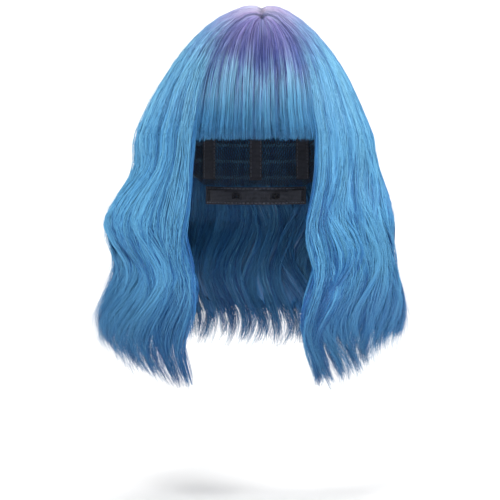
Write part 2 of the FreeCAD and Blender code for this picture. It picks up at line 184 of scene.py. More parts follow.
def on_outline(turn, z):
    """The point of the outline at a turn and a height. The front locks' inner edges hang straight."""
    left, right, front, back = ring(z)
    across, forward = np.sin(np.radians(turn)), np.cos(np.radians(turn))
    half = np.where(across < 0, left, right)
    straight = np.minimum(half, np.where(across < 0, HALF_LEFT, HALF_RIGHT))
    beside_face = np.where(forward > 0, np.abs(across), 1.0)
    half = straight + (half - straight) * smooth((beside_face - 0.45) / 0.5)
    near_cheek = smooth((66.0 - np.abs(turn)) / 34.0)
    drift = np.where(across < 0, LEFT_DRIFT * smooth((-106.0 - z) / 40.0),
                     RIGHT_DRIFT * smooth((-138.0 - z) / 90.0))
    half = half + near_cheek * drift
    return half * across + lean(z), -np.where(forward > 0, front, back) * forward


def outward_of(points):
    """The direction away from the head: away from its middle above the ears, and level below them."""
    away = points - HEAD_CENTRE
    away[..., 2] = np.clip(away[..., 2], 0.0, None)
    return away / np.maximum(np.linalg.norm(away, axis=-1, keepdims=True), 1e-6)


def depth_direction(points, turn):
    """The direction depth is measured along: away from the head, but straight forward beside the face."""
    away = outward_of(points)
    away[..., 0] *= smooth((np.abs(turn) - 28.0) / 35.0)[:, None]
    return away


def hair_paths(root, turn, depth, foot):
    """Points of each hair from its root to its foot: an array of hairs by points by x, y, z."""
    rim_z = np.maximum(foot, RIM_Z)
    rim_x, rim_y = on_outline(turn, rim_z)
    step_x, step_y = rim_x - root[:, 0], rim_y - root[:, 1]
    # Seen from above, hair leaves the parting sideways and then turns forwards or back.
    backward = 0.12 + 0.4 * smooth((np.abs(turn) - 80.0) / 60.0)
    bend_x, bend_y = root[:, 0] + 0.6 * step_x, root[:, 1] + backward * step_y
    share = np.linspace(0.0, 1.0, DOME_STEPS)[None, :]
    a, b, c = (1 - share) ** 2, 2 * share * (1 - share), share ** 2
    x = a * root[:, :1] + b * bend_x[:, None] + c * rim_x[:, None]
    y = a * root[:, 1:2] + b * bend_y[:, None] + c * rim_y[:, None]
    z = dome_height(x, y)
    fall = np.linspace(0.0, 1.0, FALL_STEPS + 1)[None, 1:]
    fall_z = z[:, -1:] + (np.minimum(foot, rim_z - 1.0)[:, None] - z[:, -1:]) * fall
    fall_x, fall_y = on_outline(turn[:, None], fall_z)
    points = np.stack([np.concatenate([x, fall_x], 1), np.concatenate([y, fall_y], 1),
                       np.concatenate([z, fall_z], 1)], axis=2)
    return points - depth_direction(points, turn) * depth[:, None, None]


def facing_up(points, turn, shift, strength):
    """How much the waves turn the hair's outer face up to the light (above zero) or down (below zero)."""
    above, below = [waves(turn[:, None], points[..., 2] + step, shift[:, None], strength[:, None])[1]
                    for step in (2.0, -2.0)]
    return (below - above) / 4.0


def add_waves(points, turn, shift, strength):
    """Moves the hair sideways round the head and outwards."""
    sideways, outwards = waves(turn[:, None], points[..., 2], shift[:, None], strength[:, None])
    plan = points[..., :2] / np.maximum(np.linalg.norm(points[..., :2], axis=2, keepdims=True), 1.0)
    moved = points.copy()
    moved[..., 0] += -plan[..., 1] * sideways + plan[..., 0] * outwards
    moved[..., 1] += plan[..., 0] * sideways + plan[..., 1] * outwards
    return moved


def even_out(points, count):
    """Spaces each hair's points along its length, closer near the root, and gives their distances from it."""
    steps = np.linalg.norm(np.diff(points, axis=1), axis=2)
    along = np.concatenate([np.zeros((len(points), 1)), np.cumsum(steps, axis=1)], axis=1)
    shares = np.interp(np.linspace(0.0, 1.0, count), POINT_SHARES, LENGTH_SHARES)
    wanted = along[:, -1:] * shares[None, :]
    evened = np.empty((len(points), count, 3))
    for i in range(len(points)):
        for axis in range(3):
            evened[i, :, axis] = np.interp(wanted[i], along[i], points[i, :, axis])
    return evened, wanted


# ---------------------------------------- sections of the hairdo

FOOT_TURN = (0.0, 30, 36, 44, 54, 64, 76, 90, 110, 150, 180)
FOOT_HEIGHT = (-321.0, -321, -324, -318, -309, -298, -288, -281, -284, -294, -298)
CROWN_HALF_WIDTH, CROWN_DEPTH = 6.0, 9.0  # size of the whorl behind the parting
FRINGE_TURN, FRINGE_Z = 31.0, -110.0  # how far the fringe reaches to each side, and its cut edge
HIDDEN_ROOT_Z, HIDDEN_ROOT_SIZE = -70.0, 0.96  # where the lower rows start
# Where one lock hangs in the shadow of another: turns from and to, distances from the root from and to, and
# how dark it is.
SHADOWS = ((-56.0, -38.0, 120.0, 215.0, 0.22), (-42.0, -31.0, 265.0, 500.0, 0.32),
           (32.0, 44.0, 185.0, 500.0, 0.32))
SHADOW_EDGE, SHADOW_END = 8.0, 50.0  # their soft borders, in degrees and millimetres


def foot_height(turn):
    """Height of the hem at a turn."""
    return np.interp(np.abs(half_turn(turn)), FOOT_TURN, FOOT_HEIGHT)


def part_roots(turn):
    """Where hair that goes to a turn starts: along the parting, or round the whorl behind it."""
    size = np.abs(half_turn(turn))
    side = np.sign(np.sin(np.radians(turn)))
    along = smooth((size - 22.0) / 90.0)
    x = PART_X + side * RNG.uniform(-0.5, 1.0, len(turn))
    y = PART_FRONT + (PART_BACK - PART_FRONT) * along
    crown = smooth((size - 100.0) / 40.0)
    x = x + crown * CROWN_HALF_WIDTH * np.sin(np.radians(turn))
    y = y - crown * CROWN_DEPTH * np.cos(np.radians(turn))
    return np.stack([x, y], axis=1)


def fringe_roots(turn):
    """Fringe hair fans out from the front end of the parting."""
    return np.stack([PART_X + turn * 0.10, PART_FRONT - 2.0 + np.abs(turn) * 0.06], axis=1)


def rim_roots(turn):
    """Hair of the lower rows starts under the upper hair."""
    x, y = on_outline(turn, np.full(len(turn), HIDDEN_ROOT_Z))
    return np.stack([x, y], axis=1) * HIDDEN_ROOT_SIZE


def fringe_share(turn, along):
    """How far the hair takes the fringe's colours: they run into the front locks near the parting only."""
    across = smooth((46.0 - np.abs(turn)) / 30.0)[:, None]
    own = (np.abs(turn) < FRINGE_TURN - 0.2)[:, None] * 1.0
    near_part = 1.0 - smooth((along - 50.0) / 60.0)
    return own + (across - own) * near_part


def shadow(turn, along):
    """How much darker the hair is at a turn and a distance from its root."""
    total = np.zeros(along.shape)
    for low, high, start, end, depth in SHADOWS:
        across = smooth((turn - low) / SHADOW_EDGE + 0.5) * smooth((high - turn) / SHADOW_EDGE + 0.5)
        down = smooth((along - start) / SHADOW_END + 0.5) * smooth((end - along) / SHADOW_END + 0.5)
        total = total + depth * across[:, None] * down
    return total


def clumps(low, high, width, layers):
    """Middles of clumps about width degrees wide between two turns: their turns and shares of the depth."""
    count = max(2, round((high - low) / width))
    turn = low + (high - low) * (np.arange(count) + 0.5) / count
    turn = np.repeat(turn, layers) + RNG.uniform(-0.25, 0.25, count * layers) * width
    depth = np.tile((np.arange(layers) + 0.5) / layers, count)
    return turn, depth


DEPTH_WEIGHT = 1.5  # depth against turn in picking a hair's tress
FULL_LENGTH = 330.0  # by here a hair has gathered as much as it will
TRESS_PULL, TRESS_PULL_GROWTH = 0.08, 0.36  # share of the way to the middle of its tress
LOCK_PULL, TIP_PULL, TIP_START = 0.24, 0.28, 0.74  # the same for its lock, and near the tips
LOCK_GROOVE, TRESS_GROOVE = 5.4, 0.4  # how deep the edges of locks and tresses sink
LOCK_WAVE_SHARE = 0.6  # how far a hair follows the waves of its lock
LOCK_SHIFT, TIP_SPREAD, HAIR_TONE, TRESS_TONE = 6.0, 1.6, 0.14, 0.15  # standard deviations
FLICK_START = 0.84
PLAIN_TONE, MIDDLE_TONE = 0.55, 0.5  # an even hair's tone, and the one that contrast spreads tones from
# Painted shade: how much darker deep hair and the edges of locks and tresses, at the grooves, are made.
DEPTH_SHADE, LOCK_EDGE_SHADE, TRESS_EDGE_SHADE = 0.16, 0.07, 0.05
LOCK_SINK_SHADE = 0.06  # painted shade for each millimetre that a lock lies deeper
PAINTED_WAVE_LIGHT = 0.5  # painted light: lighter where the waves face up to the light, darker where they face down
WAVY_CONTRAST, FRINGE_CONTRAST = 1.2, 0.7


def pull_together(own, near, wide, along, gather, wavy):
    """Draws hairs towards the middles of their tresses and locks."""
    progress = along / FULL_LENGTH
    pull = gather * RNG.uniform(0.6, 1.0, len(own))[:, None]
    tress_pull = (TRESS_PULL + TRESS_PULL_GROWTH * smooth(progress * 1.3)) * pull
    near_tip = smooth((along / along[:, -1:] - TIP_START) / (1.0 - TIP_START))
    tip_pull = TIP_PULL if wavy else 0.0
    lock_pull = (LOCK_PULL * smooth((progress - 0.2) * 1.2) + tip_pull * near_tip) * pull
    return own + tress_pull[..., None] * (near - own) + lock_pull[..., None] * (wide - own)


def add_strays(points, along, stray):
    """Lets each hair wander a little on its own."""
    count = len(points)
    for axis in range(3):
        rate = RNG.uniform(1.0, 3.2, (count, 1))
        start = RNG.uniform(0.0, 2.0 * math.pi, (count, 1))
        wander = np.sin(2 * math.pi * rate * (along / FULL_LENGTH) * 2.0 + start)
        points[..., axis] += stray * smooth(along / 60.0) * wander


def contrast(along, wavy):
    """How much tones spread: more towards the tips in wavy hair, and soon after the root in the fringe."""
    if wavy:
        return 1.0 + WAVY_CONTRAST * smooth((along - 150.0) / 130.0)
    return 1.0 + FRINGE_CONTRAST * smooth(along / 50.0)


def comb(low, high, count, points, roots, foot, depth=(0.2, 3.4), lock_width=7.0, tress_width=1.7,
         gather=1.0, shift=0.0, strength=1.0, stray=0.35, uneven=18.0, wavy=True, shade=0.0, flick=0.0):
    """Hairs of one section: their points, distances from the root, tones and shares of the fringe's colours.

    They gather into tresses, and the tresses into locks with grooves between them. Each lock has waves of its
    own.
    """
    lock_turn, _ = clumps(low, high, lock_width, 1)
    tress_turn, tress_depth = clumps(low, high, tress_width, 2)
    turn = RNG.uniform(low, high, count)
    share = RNG.beta(1.2, 1.6, count)
    lock = np.abs(turn[:, None] - lock_turn[None, :]).argmin(axis=1)
    tress_distance = np.abs(turn[:, None] - tress_turn[None, :]) / tress_width
    tress_distance = tress_distance + DEPTH_WEIGHT * np.abs(share[:, None] - tress_depth[None, :])
    tress = tress_distance.argmin(axis=1)
    lock_foot = RNG.uniform(-0.25, 0.2, len(lock_turn)) * uneven
    tress_foot = RNG.uniform(-0.2, 0.25, len(tress_turn)) * uneven
    ends = foot(turn) + lock_foot[lock] + tress_foot[tress] + uneven * RNG.beta(1.1, 2.2, count)
    lock_shift = RNG.normal(0.0, LOCK_SHIFT, len(lock_turn)) + shift
    lock_strength = strength * RNG.uniform(0.8, 1.15, len(lock_turn))
    lock_sink = RNG.uniform(-1.8, 1.4, len(lock_turn))
    lock_tone = RNG.uniform(-0.13, 0.13, len(lock_turn)) - LOCK_SINK_SHADE * lock_sink
    tress_tone = RNG.normal(0.0, TRESS_TONE, len(tress_turn))

    def path(turns, depth_share):
        depths = depth[0] + (depth[1] - depth[0]) * depth_share
        return even_out(hair_paths(roots(turns), turns, depths, ends), points)

    own, along = path(turn, share)
    near, _ = path(tress_turn[tress], tress_depth[tress])
    wide, _ = path(lock_turn[lock], share)
    mixed = pull_together(own, near, wide, along, gather, wavy)

    edge = np.clip(np.abs(turn - lock_turn[lock]) / (0.5 * lock_width), 0.0, 1.3)[:, None]
    tress_edge = np.clip(np.abs(turn - tress_turn[tress]) / (0.5 * tress_width), 0.0, 1.5)[:, None]
    sink = (LOCK_GROOVE * edge ** 3 + lock_sink[lock][:, None]) * smooth((along - 40.0) / 110.0)
    sink = sink + TRESS_GROOVE * tress_edge ** 2 * smooth(along / 40.0)
    mixed = mixed - depth_direction(mixed, turn) * sink[..., None]

    # Painted light and shade on the waves: lighter where they face up, darker where they face down.
    painted_wave_light = 0.0
    if wavy:
        swing = (turn + LOCK_WAVE_SHARE * (lock_turn[lock] - turn), lock_shift[lock],
                 lock_strength[lock] * RNG.uniform(0.94, 1.06, count))
        painted_wave_light = PAINTED_WAVE_LIGHT * facing_up(mixed, *swing)
        mixed = add_waves(mixed, *swing)
    add_strays(mixed, along, stray)
    tip = smooth((along / along[:, -1:] - FLICK_START) / (1.0 - FLICK_START))
    tip = tip * (flick + RNG.normal(0.0, TIP_SPREAD, (count, 1)))
    if wavy:
        mixed = mixed + depth_direction(mixed, turn) * tip[..., None]

    # Tones: the hair's own random variation, with painted light and shade from shade, depth and the grooves.
    tone = PLAIN_TONE + shade + lock_tone[lock] + tress_tone[tress] + RNG.normal(0.0, HAIR_TONE, count)
    tone = tone - DEPTH_SHADE * share
    tone = tone - LOCK_EDGE_SHADE * edge[:, 0] ** 2 - TRESS_EDGE_SHADE * tress_edge[:, 0] ** 2
    tone = MIDDLE_TONE + (tone[:, None] + painted_wave_light - MIDDLE_TONE) * contrast(along, wavy) - shadow(turn, along)
    return mixed, along, np.clip(tone, 0.0, 1.0), fringe_share(turn, along)


# ---------------------------------------- meshes

STRAND_WIDTH, STRAND_DEPTH = 1.15, 0.85  # against the thickness asked for
STRAND_CORNERS = np.radians((90.0, 210.0, 330.0))


def cross_sections(paths, radius):
    """Three corners round every point of every path, a little wider round the head than outwards."""
    tangent = np.gradient(paths, axis=1)
    tangent /= np.maximum(np.linalg.norm(tangent, axis=2, keepdims=True), 1e-9)
    outward = outward_of(paths)
    outward -= tangent * np.sum(outward * tangent, axis=2, keepdims=True)
    outward /= np.maximum(np.linalg.norm(outward, axis=2, keepdims=True), 1e-9)
    side = np.cross(tangent, outward)
    spokes = [side * STRAND_WIDTH * math.cos(angle) + outward * STRAND_DEPTH * math.sin(angle)
              for angle in STRAND_CORNERS]
    return np.stack([paths + spoke * radius[..., None] for spoke in spokes], axis=2)


class Batch:
    """Collects closed forms for one mesh, with three values at every corner.

    They are the distance from the root, the tone with its painted light and shade, and the share of the
    fringe's colours.
    """

    def __init__(self):
        self.corners, self.faces, self.places, self.count = [], [], [], 0
        self.along, self.tone, self.fringe = [], [], []

    def add(self, corners, faces, places, along, tone, fringe):
        """faces are arrays of three or four corner numbers, and places their layout on the unit square."""
        self.corners.append(corners)
        self.along.append(along)
        self.tone.append(tone)
        self.fringe.append(fringe)
        for face, place in zip(faces, places):
            self.faces.append(face + self.count)
            self.places.append(place)
        self.count += len(corners)

    def add_strands(self, paths, along, tone, fringe, thick, taper=1.0):
        """Closed three-sided tubes. Each has its own cell of the upper part of the unit square."""
        count, points, _ = paths.shape
        corners = cross_sections(paths, 0.5 * thick[:, None] * taper * np.ones((1, points))).reshape(-1, 3)
        start = (np.arange(count) * points * 3)[:, None]
        near = start[:, :, None] + (np.arange(points - 1) * 3)[None, :, None] + np.arange(3)[None, None, :]
        turned = (np.arange(3)[None, None, :] + 1) % 3 - np.arange(3)[None, None, :]
        quads = np.stack([near, near + 3, near + 3 + turned, near + turned], axis=3).reshape(-1, 4)
        last = start + (points - 1) * 3
        ends = np.concatenate([start + np.array([[0, 1, 2]]), last + np.array([[2, 1, 0]])])
        cells = math.ceil(math.sqrt(count))
        cell = np.stack([np.arange(count) % cells, np.arange(count) // cells], axis=1) / cells
        u = 0.12 + 0.76 * (np.arange(3)[None, :] + np.array([[0], [0], [1], [1]])) / 3.0
        v = 0.06 + 0.88 * (np.arange(points - 1)[None, :] + np.array([[0], [1], [1], [0]])) / (points - 1)
        grid = np.empty((count, points - 1, 3, 4, 2))
        grid[..., 0] = cell[:, None, None, None, 0] + u.T[None, None, :, :] / cells
        grid[..., 1] = cell[:, None, None, None, 1] + v.T[None, :, None, :] / cells
        end_places = np.repeat(np.concatenate([cell, cell])[:, None, :], 3, axis=1) + 0.1 / cells
        for place in (grid, end_places):
            place[..., 1] = 0.2 + 0.8 * place[..., 1]
        self.add(corners, [quads, ends], [grid.reshape(-1, 4, 2), end_places], np.repeat(along.ravel(), 3),
                 np.repeat(tone.ravel(), 3), np.repeat(fringe.ravel(), 3))

    def add_slab(self, outer, inner, along, fringe):
        """A closed sheet between two grids of points, laid out on the lower fifth of the unit square."""
        columns, rows, _ = outer.shape
        number = np.arange(columns * rows).reshape(columns, rows)
        under = number + columns * rows

        def wall(top, bottom):
            return np.stack([top[:-1], top[1:], bottom[1:], bottom[:-1]], axis=1)

        def sheet(grid):
            quads = np.stack([grid[:-1, :-1], grid[:-1, 1:], grid[1:, 1:], grid[1:, :-1]], axis=2)
            return quads.reshape(-1, 4)

        u, v = np.meshgrid(np.linspace(0.01, 0.49, columns), np.linspace(0.01, 0.19, rows), indexing="ij")
        place = np.stack([u, v], axis=2).reshape(-1, 2)
        places = np.concatenate([place, place + np.array([0.5, 0.0])])
        faces = [sheet(number), sheet(under)[:, ::-1], wall(number[:, -1], under[:, -1]),
                 wall(number[:, 0], under[:, 0])[:, ::-1], wall(number[0], under[0]),
                 wall(number[-1], under[-1])[:, ::-1]]
        corners = np.concatenate([outer.reshape(-1, 3), inner.reshape(-1, 3)])
        # Painted shade: tones from 0.15 to 0.5 darken the sheet like hair in shadow, and vary from column to
        # column.
        tone = np.tile(np.repeat(RNG.uniform(0.15, 0.5, columns), rows), 2)
        self.add(corners, faces, [places[face] for face in faces], np.tile(along.ravel(), 2), tone,
                 np.tile(fringe.ravel(), 2))

    def mesh(self, name):
        """A Blender mesh in metres."""
        mesh = bpy.data.meshes.new(name)
        corners = np.concatenate(self.corners) * MM
        sizes = np.concatenate([np.full(len(face), face.shape[1]) for face in self.faces])
        loops = np.concatenate([face.ravel() for face in self.faces])
        places = np.concatenate([place.reshape(-1, 2) for place in self.places])
        mesh.vertices.add(len(corners))
        mesh.vertices.foreach_set("co", corners.ravel())
        mesh.loops.add(len(loops))
        mesh.loops.foreach_set("vertex_index", loops)
        mesh.polygons.add(len(sizes))
        mesh.polygons.foreach_set("loop_start", np.concatenate([[0], np.cumsum(sizes)[:-1]]))
        mesh.polygons.foreach_set("use_smooth", np.ones(len(sizes), dtype=bool))
        mesh.update(calc_edges=True)
        mesh.uv_layers.new(name="OFBake").data.foreach_set("uv", places.ravel())
        for label, values in (("along", self.along), ("tone", self.tone), ("fringe", self.fringe)):
            layer = mesh.attributes.new(label, "FLOAT", "POINT")
            layer.data.foreach_set("value", np.concatenate(values))
        return mesh


def place_piece(mesh, material, node, body):
    """Puts a mesh in the scene, in the place of a CAD node if one is named."""
    piece = bpy.data.objects.new(mesh.name, mesh)
    bpy.context.scene.collection.objects.link(piece)
    mesh.materials.append(material)
    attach(piece, body)
    if node:
        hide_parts(node)
    return piece


# ---------------------------------------- materials

def new_material(name, roughness, specular=0.5):
    material = bpy.data.materials.new(name)
    material.use_nodes = True
    shader = material.node_tree.nodes["Principled BSDF"]
    shader.inputs["Roughness"].default_value = roughness
    shader.inputs["Specular IOR Level"].default_value = specular
    return material, material.node_tree, shader


def math_node(tree, operation, *values):
    node = tree.nodes.new("ShaderNodeMath")
    node.operation = operation
    for socket, value in zip(node.inputs, values):
        if isinstance(value, (int, float)):
            socket.default_value = value
        else:
            tree.links.new(value, socket)
    return node.outputs[0]


def ramp_node(tree, value, stops):
    node = tree.nodes.new("ShaderNodeValToRGB")
    tree.links.new(value, node.inputs[0])
    ramp = node.color_ramp
    while len(ramp.elements) < len(stops):
        ramp.elements.new(0.5)
    for element, (position, colour) in zip(ramp.elements, stops):
        element.position = position
        element.color = (*colour, 1.0)
    return node.outputs[0]


def blend_colours(tree, kind, amount, first, second):
    node = tree.nodes.new("ShaderNodeMix")
    node.data_type = "RGBA"
    node.blend_type = kind
    for socket, value in zip((node.inputs[0], node.inputs[6], node.inputs[7]), (amount, first, second)):
        if isinstance(value, (int, float)):
            socket.default_value = value
        elif isinstance(value, tuple):
            socket.default_value = (*value, 1.0)
        else:
            tree.links.new(value, socket)
    return node.outputs[2]


def attribute_node(tree, name):
    node = tree.nodes.new("ShaderNodeAttribute")
    node.attribute_name = name
    return node.outputs["Fac"]


LONGEST = 460.0  # length of the colour ramp in millimetres
TONE_REACH, DRIFT_REACH = 36.0, 26.0  # how far tone and noise move the colours along
# Colours at distances from the root in millimetres.
UPPER_DYE = [(0, (0.40, 0.43, 0.575)), (36, (0.20, 0.22, 0.44)), (62, (0.108, 0.245, 0.465)),
             (98, (0.098, 0.32, 0.54)), (180, (0.082, 0.31, 0.56)), (260, (0.062, 0.27, 0.53)),
             (340, (0.046, 0.21, 0.45)), (440, (0.028, 0.135, 0.32))]
# The fringe's colours: its dye with painted shade, darker than the upper hair's for the shade it lies in.
FRINGE_DYE_AND_SHADE = [(0, (0.24, 0.23, 0.43)), (24, (0.09, 0.09, 0.30)), (52, (0.06, 0.075, 0.265)),
              (76, (0.085, 0.145, 0.34)), (94, (0.10, 0.26, 0.44)), (120, (0.050, 0.225, 0.435)),
              (150, (0.042, 0.22, 0.475))]
UNDER_DYE = [(0, (0.05, 0.20, 0.42)), (120, (0.05, 0.21, 0.44)), (250, (0.035, 0.165, 0.36))]
# What the dye is multiplied by at each tone, from the darkest hair to the brightest.
# The tones carry painted light and shade as well as the hair's own variation, and this ramp paints them in.
FIBRE_AND_PAINTED_LIGHT = [(0.0, (0.30, 0.44, 0.64)), (0.3, (0.68, 0.78, 0.88)), (0.55, (0.98, 0.99, 1.0)),
         (0.8, (1.38, 1.19, 1.10)), (1.0, (1.9, 1.45, 1.22))]


def hair_material(name, dye, fringe_dye_and_shade=None):
    """Dyed fibre: its colour goes by the distance from the root, varies by strand and holds painted light and
    shade.
    """
    material, tree, shader = new_material(name, 0.36)
    along = attribute_node(tree, "along")
    tone = attribute_node(tree, "tone")
    drift = tree.nodes.new("ShaderNodeTexNoise")
    tree.links.new(tree.nodes.new("ShaderNodeTexCoord").outputs["Object"], drift.inputs["Vector"])
    drift.inputs["Scale"].default_value = 55.0
    drift.inputs["Detail"].default_value = 2.0
    shifted = math_node(tree, "MULTIPLY_ADD", tone, TONE_REACH, along)
    shifted = math_node(tree, "MULTIPLY_ADD", drift.outputs[0], DRIFT_REACH, shifted)
    middle = (TONE_REACH + DRIFT_REACH) / 2.0
    level = math_node(tree, "DIVIDE", math_node(tree, "SUBTRACT", shifted, middle), LONGEST)
    colour = ramp_node(tree, level, [(distance / LONGEST, shade) for distance, shade in dye])
    if fringe_dye_and_shade:
        in_fringe = ramp_node(tree, level, [(distance / LONGEST, shade) for distance, shade in fringe_dye_and_shade])
        colour = blend_colours(tree, "MIX", attribute_node(tree, "fringe"), colour, in_fringe)
    fibre_and_painted_light = ramp_node(tree, tone, FIBRE_AND_PAINTED_LIGHT)
    tree.links.new(blend_colours(tree, "MULTIPLY", 1.0, colour, fibre_and_painted_light), shader.inputs["Base Color"])
    tree.links.new(math_node(tree, "MULTIPLY_ADD", tone, 0.12, 0.32), shader.inputs["Roughness"])
    return material


UPPER = hair_material("hair_upper", UPPER_DYE, FRINGE_DYE_AND_SHADE)
UNDER = hair_material("hair_under", UNDER_DYE)


# ---------------------------------------- the hair of each section

# Turns between which each section of the right half hangs, and the middle of the back.
FRONT_SPAN, SIDE_SPAN, BACK_SPAN, UNDER_SPAN = (29.0, 61.0), (61.0, 104.0), (104.0, 154.0), (62.0, 104.0)
BACK_MIDDLE = (154.0, 206.0)
LOOSE_HALF = 3.5  # half width of a loose lock in degrees
# Loose locks over the front ones: turn, wave shift, strength and shade.
# Their shade is painted light above zero, on locks that lie on top, and painted shade below, in another's
# shadow.
LOOSE_LOCKS = {"front_lock_left": [(-46.0, 7.0, 1.2, 0.16), (-57.0, -8.0, 1.2, -0.04)],
               "front_lock_right": [(44.0, 9.0, 1.2, -0.12), (56.0, 4.0, 1.4, 0.26)],
               "side_hair_left": [(-66.0, 6.0, 1.1, 0.14), (-80.0, -6.0, 1.0, 0.04)],
               "side_hair_right": [(66.0, -12.0, 1.15, 0.2), (80.0, 6.0, 1.1, 0.08)]}


def thickness(count, middle):
    return np.clip(RNG.normal(middle, 0.25 * middle, count), 0.45 * middle, 1.7 * middle)


def hair_taper(points):
    """Share of a hair's full thickness along it: it thins out at the tip."""
    share = np.linspace(0.0, 1.0, points)
    return ((0.55 + 0.45 * smooth(share / 0.08)) * (1.0 - 0.82 * smooth((share - 0.72) / 0.28)))[None, :]


def hair_body(batch, low, high, roots, foot, depth, short=34.0, points=46, wavy=True):
    """The opaque hair under the strands: ridged along the flow, thin at its edges and ragged at the hem."""
    columns = max(6, round((high - low) / 0.6))
    turn = np.linspace(low + 0.6, high - 0.6, columns)
    ridge = np.convolve(RNG.uniform(-1.0, 1.0, columns + 4), np.ones(3) / 2.0, "valid")[:columns]
    thin = 1.0 - smooth(np.minimum(turn - low, high - turn) / 3.5)
    middle = (depth[0] + depth[1]) / 2.0
    ends = foot(turn) + short + 9.0 * ridge
    sheets = []
    for level, ridged in zip(depth, (0.7, -0.5)):
        path = hair_paths(roots(turn), turn, level + (middle - level) * 0.8 * thin + ridged * ridge, ends)
        path, along = even_out(path, points)
        if wavy:
            path = add_waves(path, turn, np.zeros(columns), np.ones(columns))
        sheets.append(path)
    batch.add_slab(*sheets, along, fringe_share(turn, along))


def hair_piece(name, material, node, layers, body=None, thick=0.5):
    """One piece of hair: an opaque body and layers of combed strands. Its name seeds its randomness."""
    global RNG
    RNG = np.random.default_rng(sum(ord(letter) * (i + 1) for i, letter in enumerate(name)))
    batch = Batch()
    if body:
        hair_body(batch, **body)
    for layer in layers:
        paths, *tints = comb(**layer)
        batch.add_strands(paths, *tints, thickness(len(paths), thick), hair_taper(paths.shape[1]))
    return place_piece(batch.mesh(name), material, node, "wig")


def long_foot(turn):
    """Some fine hair at the outer corners of the hem is longer than the rest."""
    return foot_height(turn) - 12.0 * smooth((np.abs(turn) - 50.0) / 20.0)


def short_foot(turn):
    """Some fine hair ends above the hem."""
    return foot_height(turn) + 6.0


def under_foot(turn):
    """The lower rows end above the hem."""
    return foot_height(turn) + 14.0


def fringe_foot(turn):
    """The fringe is cut level above the eyes."""
    return np.full(len(turn), FRINGE_Z)


def loose_hair(name, base):
    """Loose locks and fine hair on the outside of a section, some of it straying from the flow."""
    layers = [dict(base, low=turn - LOOSE_HALF, high=turn + LOOSE_HALF, count=190, depth=(-2.6, -0.4),
                   lock_width=7.0, gather=0.9, shift=shift, strength=strength, shade=shade)
              for turn, shift, strength, shade in LOOSE_LOCKS[name]]
    # Painted light: lighter tones on some outer fine hair, the lightest (shade 0.36) as painted highlights.
    layers += [
        dict(base, count=410, depth=(-0.8, 2.2), lock_width=5.0, shift=-4.0),
        dict(base, count=80, depth=(-3.4, -1.4), lock_width=10.0, gather=0.5, stray=0.6, shift=4.0,
             shade=0.36),
        dict(base, foot=long_foot, count=40, depth=(-1.0, 3.0), stray=1.0, uneven=10.0, flick=6.0),
        dict(base, foot=short_foot, count=110, depth=(-1.5, 1.0), gather=1.4, stray=0.6, uneven=42.0,
             flick=7.0),
        dict(base, count=150, depth=(-2.6, 0.2), lock_width=12.0, tress_width=3.0, gather=0.5, stray=1.1,
             shift=-5.0, uneven=30.0, shade=0.1, flick=3.0)]
    hair_piece(name + "_loose", UPPER, name, layers, thick=0.38)


def upper_section(name, low, high, inner_edge=None):
    """Hair from the parting to the hem: a body with its hem, the hair on top, and loose hair at the front."""
    base = dict(low=low, high=high, roots=part_roots, foot=foot_height, points=28)
    lining = dict(base, roots=rim_roots, points=18, gather=0.6, lock_width=10.0)
    # Painted shade: the deeper layers get darker tones (shade below zero).
    layers = [dict(base, count=480, depth=(2.2, 5.6), gather=0.7, shade=-0.06),
              dict(lining, count=330, depth=(5.0, 11.0), uneven=24.0, shade=-0.12)]
    deepest = 10.0
    if inner_edge is not None:
        deepest = 11.5
        edge = sorted((inner_edge, inner_edge + math.copysign(3.0, inner_edge)))
        layers.append(dict(lining, count=220, depth=(11.5, 15.5), shade=-0.12))
        layers.append(dict(base, low=edge[0], high=edge[1], count=130, depth=(1.0, 14.0), lock_width=3.0))
    body = dict(low=low, high=high, roots=part_roots, foot=foot_height, depth=(5.8, deepest))
    hair_piece(name + "_body", UPPER, name, layers, body)
    # Painted light: the lock laid over the top gets a lighter tone (shade above zero).
    layers = [dict(base, count=900, depth=(0.2, 3.4)),
              dict(base, count=300, depth=(-1.2, 0.8), lock_width=9.0, gather=1.2, shift=8.0, shade=0.06)]
    hair_piece(name + "_top", UPPER, name, layers, thick=0.46)
    if name in LOOSE_LOCKS:
        loose_hair(name, base)


def under_section(name, low, high):
    """Hair of the lower rows, which lines the upper hair and shows at the neck."""
    base = dict(low=low, high=high, roots=rim_roots, foot=under_foot, points=20, gather=0.6)
    layers = [dict(base, count=620, depth=(14.8, 17.8), uneven=24.0),
              dict(base, count=480, depth=(10.5, 15.0), uneven=28.0)]
    body = dict(low=low, high=high, roots=rim_roots, foot=under_foot, depth=(11.6, 15.0), short=28.0)
    hair_piece(name + "_body", UNDER, name, layers, body)


def fringe_section():
    """The straight fringe."""
    base = dict(low=-FRINGE_TURN, high=FRINGE_TURN, roots=fringe_roots, foot=fringe_foot, points=14,
                lock_width=4.0, tress_width=0.9, gather=0.6, stray=0.25, wavy=False)
    body = dict(low=0.5 - FRINGE_TURN, high=FRINGE_TURN - 0.5, roots=fringe_roots, foot=fringe_foot,
                depth=(3.8, 7.0), short=13.0, points=24, wavy=False)
    # Painted shade: the deeper layers get darker tones (shade below zero).
    layers = [dict(base, count=1500, depth=(2.2, 6.4), uneven=5.0, shade=-0.05),
              dict(base, count=500, depth=(6.6, 8.6), uneven=5.0, shade=-0.1)]
    hair_piece("fringe_body", UPPER, "fringe", layers, body)
    # Painted light: the outermost hair gets a lighter tone (shade above zero).
    layers = [dict(base, count=1950, depth=(0.2, 3.2), uneven=5.5),
              dict(base, count=500, depth=(-0.6, 0.6), uneven=8.0, tress_width=2.0, gather=1.2, shade=0.05)]
    hair_piece("fringe_top", UPPER, "fringe", layers, thick=0.42)


